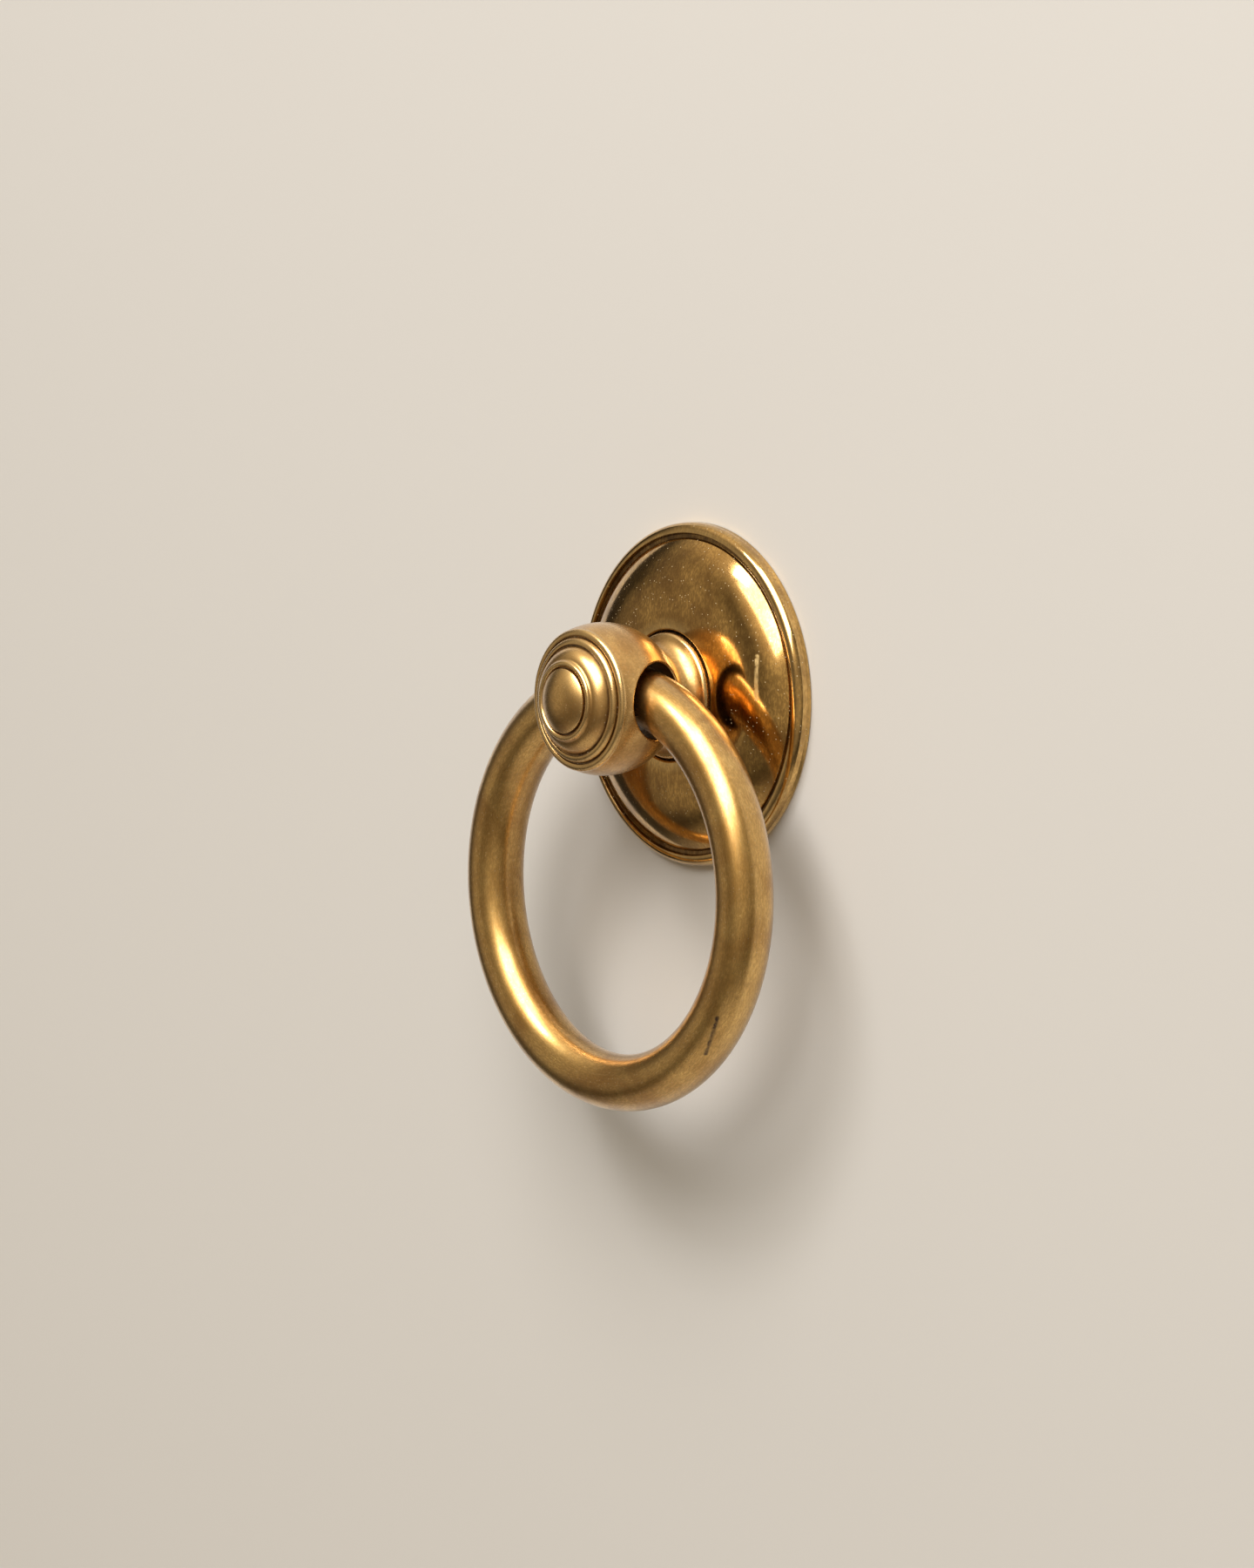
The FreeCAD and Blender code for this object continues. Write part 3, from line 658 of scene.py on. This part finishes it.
def postSections(size):
    step = size["collarRadius"] - size["neckRadius"]
    turn = math.radians(size["collarTurn"])
    rollRadius = size["collarRoll"]
    coveRadius = step / (1 - math.cos(turn)) - rollRadius
    collarSwell, coveSwell = [radius * (1 - math.cos(turn / 2)) for radius in (rollRadius, coveRadius)]
    rollEnd = size["collarTop"] + rollRadius * math.sin(turn)
    neckStart = rollEnd + coveRadius * math.sin(turn)
    neckEnd = neckStart + size["neckLength"]
    tail = [
        (0, size["boreEnd"], 0),
        (size["boreRadius"], size["boreEnd"], 0),
        (size["boreRadius"], size["spigotEnd"], 0),
        (size["spigotRadius"] - size["spigotChamfer"], size["spigotEnd"], 0),
        (size["spigotRadius"], size["spigotEnd"] + size["spigotChamfer"], 0),
        (size["spigotRadius"], size["collarFoot"], 0),
        (size["collarRadius"], size["collarFoot"], 0),
        (size["collarRadius"], size["collarTop"], 0),
        (size["collarRadius"] - rollRadius * (1 - math.cos(turn)), rollEnd, -collarSwell),
        (size["neckRadius"], neckStart, coveSwell),
        (size["neckRadius"], neckEnd, 0),
    ]
    ballRadius = size["holeRadius"] + size["ballWall"]
    ballCentre = neckEnd + math.sqrt(ballRadius ** 2 - size["neckRadius"] ** 2)
    face = size["holeAxis"] + size["holeRadius"] + size["faceLand"]
    faceRadius = math.sqrt(ballRadius ** 2 - (face - ballCentre) ** 2)
    lipIn = faceRadius - size["lipWidth"]
    lipTop = face + size["lipRise"]
    reedOut = lipIn - size["lineWidth"]
    reedIn = reedOut - size["reedWidth"]
    reedTop = lipTop + size["reedRise"]
    ovoloOut = reedIn - size["lineWidth"]
    ovoloIn = ovoloOut - size["ovoloWidth"]
    ovoloTop = reedTop + size["ovoloRise"]
    rollOut = ovoloIn - size["dipWidth"]
    rollIn = rollOut - size["rollWidth"]
    rollFoot = ovoloTop + size["dipRise"]
    boss = rollIn - size["bossGap"]
    bossFoot = rollFoot - size["bossSink"]
    bossEdge = bossFoot + size["bossSide"]
    bossRadius = (size["bossDome"] ** 2 + boss ** 2) / (2 * size["bossDome"])
    bossSwell = chordSwell(bossRadius, (boss, bossEdge), (0, bossEdge + size["bossDome"]))
    moulding = [
        (faceRadius, face, 0),
        (lipIn, lipTop, -size["lipSwell"]),
        (lipIn, lipTop - size["lineDepth"], 0),
        (reedOut, lipTop - size["lineDepth"], 0),
        (reedIn, reedTop, -size["reedSwell"]),
        (reedIn, reedTop - size["lineDepth"], 0),
        (ovoloOut, reedTop - size["lineDepth"], 0),
        (ovoloIn, ovoloTop, -size["ovoloSwell"]),
        (rollOut, rollFoot, size["dipSwell"]),
        (rollIn, rollFoot, -size["rollSwell"]),
        (rollIn, bossFoot, 0),
        (boss, bossFoot, 0),
        (boss, bossEdge, 0),
        (0, bossEdge + size["bossDome"], -bossSwell),
    ]
    return tail, moulding, ballRadius, ballCentre


def turnedRows(shape, marks, line, turns):
    # a plain lathe: one ring of vertices for each point of the outline
    rows = []
    for point, along, hollow, crest in zip(line, *outlineMasks(line)):
        row = []
        for step in range(turns):
            angle = math.tau * step / turns
            place = (point.x * math.cos(angle), -point.y, point.x * math.sin(angle))
            row.append(marked(shape, marks, place, along, hollow, crest))
        rows.append(row)
    for near, far in zip(rows, rows[1:]):
        bridge(shape, near, far)


def marked(shape, marks, place, along, hollow, crest):
    vertex = shape.verts.new(Vector(place) * mm)
    for layer, value in zip(marks, (along, hollow, crest)):
        vertex[layer] = value
    return vertex


def bridge(shape, near, far):
    count = len(near)
    for i in range(count):
        shape.faces.new((near[i], near[(i + 1) % count], far[(i + 1) % count], far[i]))


def zoneEdge(size, ballRadius, ballCentre, neckEnd, face):
    # the outer edge of the ball's half zone, walked once round: neck circle, side, face circle, other side
    half = size["turns"] // 2
    steps = size["meridianSteps"]
    sweep = [math.pi * (i / half - 0.5) for i in range(half)]
    neckTilt = math.asin((neckEnd - ballCentre) / ballRadius)
    faceTilt = math.asin((face - ballCentre) / ballRadius)
    rise = [neckTilt + (faceTilt - neckTilt) * i / steps for i in range(steps)]
    edge = [(angle, neckTilt) for angle in sweep]
    edge += [(math.pi / 2, tilt) for tilt in rise]
    edge += [(-angle, faceTilt) for angle in sweep]
    edge += [(-math.pi / 2, neckTilt + faceTilt - tilt) for tilt in rise]
    return [Vector((math.cos(tilt) * math.cos(angle), math.sin(tilt), math.cos(tilt) * math.sin(angle)))
            for angle, tilt in edge]


def makePost(size, finish):
    tail, moulding, ballRadius, ballCentre = postSections(size)
    neckEnd, face = tail[-1][1], moulding[0][1]
    shape = bmesh.new()
    marks = [shape.verts.layers.float.new(label) for label in markNames]
    turnedRows(shape, marks, easedOutline(tail, size["easing"]), size["turns"])
    turnedRows(shape, marks, easedOutline(moulding, size["easing"]), size["turns"])

    outer = zoneEdge(size, ballRadius, ballCentre, neckEnd, face)
    rounding = size["holeRounding"]
    reach = size["holeRadius"] + rounding
    offset = size["holeAxis"] - ballCentre
    walls = []
    for side in (1, -1):
        bands = [[] for _ in range(size["zoneRings"] + size["roundSteps"] + 1)]
        for direction in outer:
            # the round's own centre, inside the metal, seen from the ball's centre
            heading = Vector((0, direction.y * ballRadius - offset, direction.z * ballRadius)).normalized()
            y, z = offset + heading.y * reach, heading.z * reach
            x = math.sqrt((ballRadius - rounding) ** 2 - y ** 2 - z ** 2)
            middle = Vector((x, y, z))
            mouth = middle.normalized()
            spread = mouth.angle(direction)
            spots = []
            for step in range(size["zoneRings"]):
                share = step / size["zoneRings"]
                first, second = math.sin((1 - share) * spread), math.sin(share * spread)
                spots.append(((direction * first + mouth * second) / math.sin(spread) * ballRadius, 0.0))
            for step in range(size["roundSteps"] + 1):
                bend = mouth.slerp(-heading, step / size["roundSteps"])
                worn = math.sin(math.pi * step / size["roundSteps"]) * size["mouthWear"]
                spots.append((middle + bend * rounding, worn))
            for band, (spot, crest) in zip(bands, spots):
                along = ballRadius * math.asin(max(-1, min(1, spot.y / ballRadius)))
                place = (side * spot.x, -(ballCentre + spot.y), spot.z)
                band.append(marked(shape, marks, place, along, 0.0, crest))
        for near, far in zip(bands, bands[1:]):
            bridge(shape, near, far)
        walls.append(bands[-1])
    last = walls[0]
    for step in range(1, size["wallSteps"]):
        share = step / size["wallSteps"]
        band = []
        for right, left in zip(*walls):
            vertex = shape.verts.new(right.co.lerp(left.co, share))
            # painted shade: the hollow mark on the cross hole's wall rises away from both mouths, darkening
            # the wall where shade falls
            vertex[marks[1]] = min(1.0, size["wallShade"] * min(share, 1 - share))
            band.append(vertex)
        bridge(shape, last, band)
        last = band
    bridge(shape, last, walls[1])

    mesh = bpy.data.meshes.new("ballPost")
    shape.to_mesh(mesh)
    shape.free()
    settle(mesh)
    mesh.materials.append(finish)
    return mesh


postFinish = metalFinish("postBrass", agedBrass, (0, 0, 0))
ballPost = addObject("ballPost", makePost(post, postFinish))
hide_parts("ring_post")
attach(ballPost, "fixed_base")
print("post turned:", len(ballPost.data.polygons), "faces")


# the ring, a round rod swept along its circle by a tree

ringLow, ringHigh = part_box("pull_ring")
ringCentre = (ringLow + ringHigh) / 2
rodRadius = (ringHigh.y - ringLow.y) / 2
ring = dict(
    rodRadius=rodRadius, centre=ringCentre,  # in metres, from the frame, as is the bend radius
    bendRadius=min((ringHigh - ringLow).xz) / 2 - rodRadius,
    roundSteps=320, rodSteps=80,
)


def makeBentTree():
    takes = [("Start", "Geometry", None), ("Bend radius", "Float", 0.02), ("Rod radius", "Float", 0.003),
             ("Centre", "Vector", None), ("Round steps", "Int", 200), ("Rod steps", "Int", 48),
             ("Finish", "Material", None)]
    tree, given, out = newTree("bentRod", "GeometryNodeTree", takes, [("Piece", "Geometry")])
    circles = []
    for steps, radius in (("Round steps", "Bend radius"), ("Rod steps", "Rod radius")):
        wires = {"Resolution": given[steps], "Radius": given[radius]}
        circles.append(put(tree, "GeometryNodeCurvePrimitiveCircle", wires).outputs[0])
    wires = {"Curve": circles[0], "Profile Curve": circles[1]}
    swept = put(tree, "GeometryNodeCurveToMesh", wires).outputs[0]
    wires = {"Geometry": swept, "Translation": given["Centre"], "Rotation": (math.pi / 2, 0, 0)}
    upright = put(tree, "GeometryNodeTransform", wires).outputs[0]
    tree.links.new(dressed(tree, upright, given["Finish"]), out["Piece"])
    return tree


ringBrass = dict(
    agedBrass, ringRadius=ring["bendRadius"] / mm, lineLength=3.0, linesPerMm=5.0,
    metal=(0.85, 0.535, 0.165), patina=(0.47, 0.24, 0.045),
    rough=0.31, grainRough=0.04, grainHeight=0.0, lacquer=1.0, lacquerRough=0.22,
    speckleSize=6.0, speckleShare=0.5, speckleTone=0.42, speckleRough=0.03, speckleHeight=0.0,
    scratchPerMm=0.8, scratchLean=0.0, scratchTone=0.5, scratchHeight=0.0, pitHeight=0.0,
    scars=[dict(start=(20.2, -2.43, -12.8), end=(17.56, -1.87, -17.0), width=0.3, axes=(1, 1, 1),
                tone=1.0, rough=0.1, colour="grimeAndShade")],
)
ringFinish = metalFinish("ringBrass", ringBrass, ringCentre, bent=True)
bentRing = addObject("bentRing", bpy.data.meshes.new("bentRing"))
grownMesh(bentRing, makeBentTree(), {
    "Bend radius": ring["bendRadius"], "Rod radius": ring["rodRadius"], "Centre": ring["centre"],
    "Round steps": ring["roundSteps"], "Rod steps": ring["rodSteps"], "Finish": ringFinish})
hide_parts("pull_ring")
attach(bentRing, "swinging_ring")
print("ring bent:", len(bentRing.data.polygons), "faces")


# the stud, a rod whose thread is cut by a tree

studLow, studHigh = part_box("fixing_stud")
stud = dict(
    near=studLow.y, far=studHigh.y, crest=studHigh.x,  # in metres, from the frame
    pitch=0.7, threadDepth=0.43, chamfer=0.5,
    crestFlat=0.14, rootFlat=0.8,  # where the flank starts and ends, as shares of half a pitch
    waist=1.64, waistNear=-1.14, waistFar=-0.06,  # the plain waist where it leaves the post
    turns=48, stepsPerPitch=12,
)
zincSteel = dict(
    agedBrass,
    metal=(0.62, 0.62, 0.60), patina=(0.45, 0.45, 0.43), bright=(0.78, 0.78, 0.77),
    spotted=(0.36, 0.35, 0.32), grimeAndShade=(0.11, 0.10, 0.09),
    rough=0.34, linesPerMm=9.0, speckleTone=0.25, grimeAndShadeTone=0.7, scratchLength=1.5, dustTone=0.0, lacquer=0.0,
)


def makeThreadTree():
    takes = [("Start", "Geometry", None), ("Near end", "Float", 0.0), ("Far end", "Float", 0.02),
             ("Crest radius", "Float", 0.002), ("Thread depth", "Float", 0.0004), ("Pitch", "Float", 0.0007),
             ("Crest flat", "Float", 0.14), ("Root flat", "Float", 0.8), ("Chamfer", "Float", 0.0005),
             ("Waist radius", "Float", 0.0016), ("Waist near", "Float", 0.0), ("Waist far", "Float", 0.0),
             ("Rows", "Int", 400), ("Turns", "Int", 48), ("Finish", "Material", None)]
    tree, given, out = newTree("threadedRod", "GeometryNodeTree", takes, [("Piece", "Geometry")])
    near, far, crest, rows = [given[label] for label in ("Near end", "Far end", "Crest radius", "Rows")]
    grid, row, around = lattice(tree, rows, given["Turns"])
    # the first and last rows are the middles of the two end faces
    last = calc(tree, "SUBTRACT", rows, 1.0)
    inside = calc(tree, "MULTIPLY", calc(tree, "GREATER_THAN", row, 0.5),
                  calc(tree, "LESS_THAN", row, calc(tree, "SUBTRACT", last, 0.5)))
    steps = calc(tree, "SUBTRACT", rows, 3.0)
    share = calc(tree, "DIVIDE", calc(tree, "SUBTRACT", row, 1.0), steps, clamp=True)
    y = calc(tree, "MULTIPLY_ADD", share, calc(tree, "SUBTRACT", far, near), near)
    # right-hand thread: crest flat, flank, root flat, flank
    lead = calc(tree, "FRACT", calc(tree, "ADD", calc(tree, "DIVIDE", y, given["Pitch"]), around))
    apart = calc(tree, "ABSOLUTE", calc(tree, "MULTIPLY_ADD", lead, 2.0, -1.0))
    depth = ranged(tree, apart, (given["Crest flat"], given["Root flat"]))
    radius = calc(tree, "MULTIPLY_ADD", depth, calc(tree, "MULTIPLY", given["Thread depth"], -1.0), crest)
    tip = calc(tree, "SUBTRACT", crest, given["Chamfer"])
    nearest = calc(tree, "MINIMUM", calc(tree, "SUBTRACT", y, near), calc(tree, "SUBTRACT", far, y))
    radius = calc(tree, "MINIMUM", radius, calc(tree, "ADD", tip, nearest))
    clear = calc(tree, "MAXIMUM", calc(tree, "SUBTRACT", given["Waist near"], y),
                 calc(tree, "SUBTRACT", y, given["Waist far"]))
    waist = calc(tree, "ADD", given["Waist radius"], calc(tree, "MAXIMUM", clear, 0.0))
    radius = calc(tree, "MULTIPLY", calc(tree, "MINIMUM", radius, waist), inside)
    piece = wrapped(tree, grid, radius, y, around)
    threaded = calc(tree, "GREATER_THAN", clear, 0.0)
    values = (calc(tree, "DIVIDE", y, mm), calc(tree, "MULTIPLY", depth, threaded),
              calc(tree, "MULTIPLY", calc(tree, "SUBTRACT", 1.0, depth), threaded))
    for label, value in zip(markNames, values):
        piece = storeMark(tree, piece, label, value)
    tree.links.new(dressed(tree, piece, given["Finish"]), out["Piece"])
    return tree


studFinish = metalFinish("studSteel", zincSteel, (0, 0, 0))
studSteps = round((stud["far"] - stud["near"]) / mm / stud["pitch"] * stud["stepsPerPitch"])
studRows = studSteps + 3  # one row more than steps, and the middle of each end face
threadedStud = addObject("threadedStud", bpy.data.meshes.new("threadedStud"))
grownMesh(threadedStud, makeThreadTree(), {
    "Near end": stud["near"], "Far end": stud["far"], "Crest radius": stud["crest"],
    "Thread depth": stud["threadDepth"] * mm, "Pitch": stud["pitch"] * mm, "Chamfer": stud["chamfer"] * mm,
    "Crest flat": stud["crestFlat"], "Root flat": stud["rootFlat"], "Waist radius": stud["waist"] * mm,
    "Waist near": stud["waistNear"] * mm, "Waist far": stud["waistFar"] * mm,
    "Rows": studRows, "Turns": stud["turns"], "Finish": studFinish})
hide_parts("fixing_stud")
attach(threadedStud, "fixed_base")
print("stud threaded:", len(threadedStud.data.polygons), "faces")


# stage, light and camera

wall = dict(behind=0.1, clearGap=1.0, across=4000, colour=(0.52, 0.50, 0.475), rough=0.8)
floor = dict(level=-1000, fadeStart=600, fadeEnd=1700, colour=(0.52, 0.50, 0.475), rough=0.8)


def behindWall(tree):
    # the wall is seen from the front only, and is open to rays from the part's own back
    facing = put(tree, "ShaderNodeNewGeometry").outputs["Backfacing"]
    length = put(tree, "ShaderNodeLightPath").outputs["Ray Length"]
    return calc(tree, "MAXIMUM", facing, calc(tree, "LESS_THAN", length, wall["clearGap"] * mm))


def farFloor(tree):
    # the floor fades out away from the part
    place = split(tree, put(tree, "ShaderNodeTexCoord").outputs["Object"])
    reach = vectored(tree, "LENGTH", joined(tree, place[0], place[1]), output="Value")
    return ranged(tree, reach, (floor["fadeStart"] * mm, floor["fadeEnd"] * mm), easing="SMOOTHSTEP")


def plainSheet(name, corners, look, opening):
    mesh = bpy.data.meshes.new(name)
    mesh.from_pydata([Vector(corner) * mm for corner in corners], [], [(0, 1, 2, 3)])
    sheet = addObject(name, mesh)
    material = bpy.data.materials.new(name)
    material.use_nodes = True
    tree = material.node_tree
    shader = tree.nodes["Principled BSDF"]
    shader.inputs["Base Color"].default_value = (*look["colour"], 1)
    shader.inputs["Roughness"].default_value = look["rough"]
    clear = tree.nodes.new("ShaderNodeBsdfTransparent")
    either = put(tree, "ShaderNodeMixShader", {0: opening(tree), 1: shader.outputs[0], 2: clear.outputs[0]})
    tree.links.new(either.outputs[0], tree.nodes["Material Output"].inputs["Surface"])
    mesh.materials.append(material)


reach, behind, level = wall["across"] / 2, wall["behind"], floor["level"]
wallCorners = [(-reach, behind, level), (reach, behind, level),
               (reach, behind, reach), (-reach, behind, reach)]
floorCorners = [(-reach, -reach, level), (reach, -reach, level),
                (reach, reach, level), (-reach, reach, level)]
plainSheet("backWall", wallCorners, wall, behindWall)
plainSheet("paleFloor", floorCorners, floor, farFloor)

lamps = dict(
    keyBox=dict(towards=(-0.16, -0.61, 0.78), distance=1000, wide=190, tall=190, roll=0, power=2.5),
    windowBox=dict(towards=(0.27, -0.66, 0.70), distance=1000, wide=720, tall=780, roll=42, power=12.5),
)


def areaLamp(name, towards, distance, wide, tall, roll, power):
    lamp = bpy.data.lights.new(name, "AREA")
    lamp.shape = "RECTANGLE"
    lamp.size, lamp.size_y = wide * mm, tall * mm
    lamp.energy = power
    holder = bpy.data.objects.new(name, lamp)
    direction = Vector(towards).normalized()
    holder.location = direction * distance * mm
    rolled = Quaternion((0, 0, 1), math.radians(roll))
    holder.rotation_euler = (direction.to_track_quat("Z", "Y") @ rolled).to_euler()
    bpy.context.scene.collection.objects.link(holder)


for name, lamp in lamps.items():
    areaLamp(name, **lamp)

# strengths, and the edges between which each part of the room comes in
room = dict(
    ground=0.05, groundEdges=(-0.65, -0.35), shade=0.05, front=0.20, frontEdges=(0.2, 0.8),
    behind=0.55, behindEdges=(0.05, 0.4), overhead=0.8, overheadEdges=(0.5, 0.97), tint=(1.0, 0.85, 0.62),
    glows=[dict(towards=(0.23, -0.70, 0.67), edges=(0.80, 1.0), strength=1.1),
           dict(towards=(0.75, -0.62, 0.2), edges=(0.55, 1.0), strength=0.28),
           dict(towards=(-0.60, -0.46, 0.65), edges=(0.86, 1.0), strength=0.26),
           dict(towards=(-0.70, -0.71, 0.0), edges=(0.86, 1.0), strength=0.2)],
)


def makeRoom(look):
    # a dim room, lighter ahead of the front, behind it and overhead, darker to the sides and below
    world = bpy.data.worlds.new("softRoom")
    world.use_nodes = True
    tree = world.node_tree
    tree.nodes.clear()
    direction = put(tree, "ShaderNodeTexCoord").outputs["Generated"]
    heading = split(tree, direction)

    def lit(value, edges, strength, sky):
        return calc(tree, "MULTIPLY_ADD", ranged(tree, value, edges, easing="SMOOTHSTEP"), strength, sky)

    ahead = calc(tree, "MULTIPLY", heading[1], -1.0)
    sky = lit(ahead, look["frontEdges"], look["front"] - look["shade"], look["shade"])
    for patch in look["glows"]:
        facing = vectored(tree, "DOT_PRODUCT", direction, Vector(patch["towards"]).normalized(), "Value")
        sky = lit(facing, patch["edges"], patch["strength"], sky)
    sky = lit(heading[2], look["overheadEdges"], look["overhead"], sky)
    sky = lit(heading[1], look["behindEdges"], look["behind"], sky)
    glow = lit(heading[2], look["groundEdges"], calc(tree, "SUBTRACT", sky, look["ground"]), look["ground"])
    background = put(tree, "ShaderNodeBackground", {"Color": scaled(tree, look["tint"], glow)})
    tree.links.new(background.outputs[0], tree.nodes.new("ShaderNodeOutputWorld").inputs["Surface"])
    return world


bpy.context.scene.world = makeRoom(room)

camera = dict(
    azimuth=50.1, elevation=3.63, distance=780, lens=159.9, aside=-8.05, lower=-10.1,
    clipNear=10, clipFar=20000,
)


def placeCamera(size):
    azimuth, elevation = math.radians(size["azimuth"]), math.radians(size["elevation"])
    back = Vector((math.sin(azimuth) * math.cos(elevation), -math.cos(azimuth) * math.cos(elevation),
                   math.sin(elevation)))
    right = Vector((math.cos(azimuth), math.sin(azimuth), 0))
    up = back.cross(right)
    data = bpy.data.cameras.new("photoCamera")
    data.lens = size["lens"]
    data.clip_start, data.clip_end = size["clipNear"] * mm, size["clipFar"] * mm
    holder = bpy.data.objects.new("photoCamera", data)
    holder.location = back * size["distance"] * mm
    aim = (right * size["aside"] + up * size["lower"]) * mm
    holder.rotation_euler = (holder.location - aim).to_track_quat("Z", "Y").to_euler()
    bpy.context.scene.collection.objects.link(holder)
    bpy.context.scene.camera = holder


placeCamera(camera)
bpy.context.scene.view_settings.view_transform = "Standard"
print("stage, light and camera set")
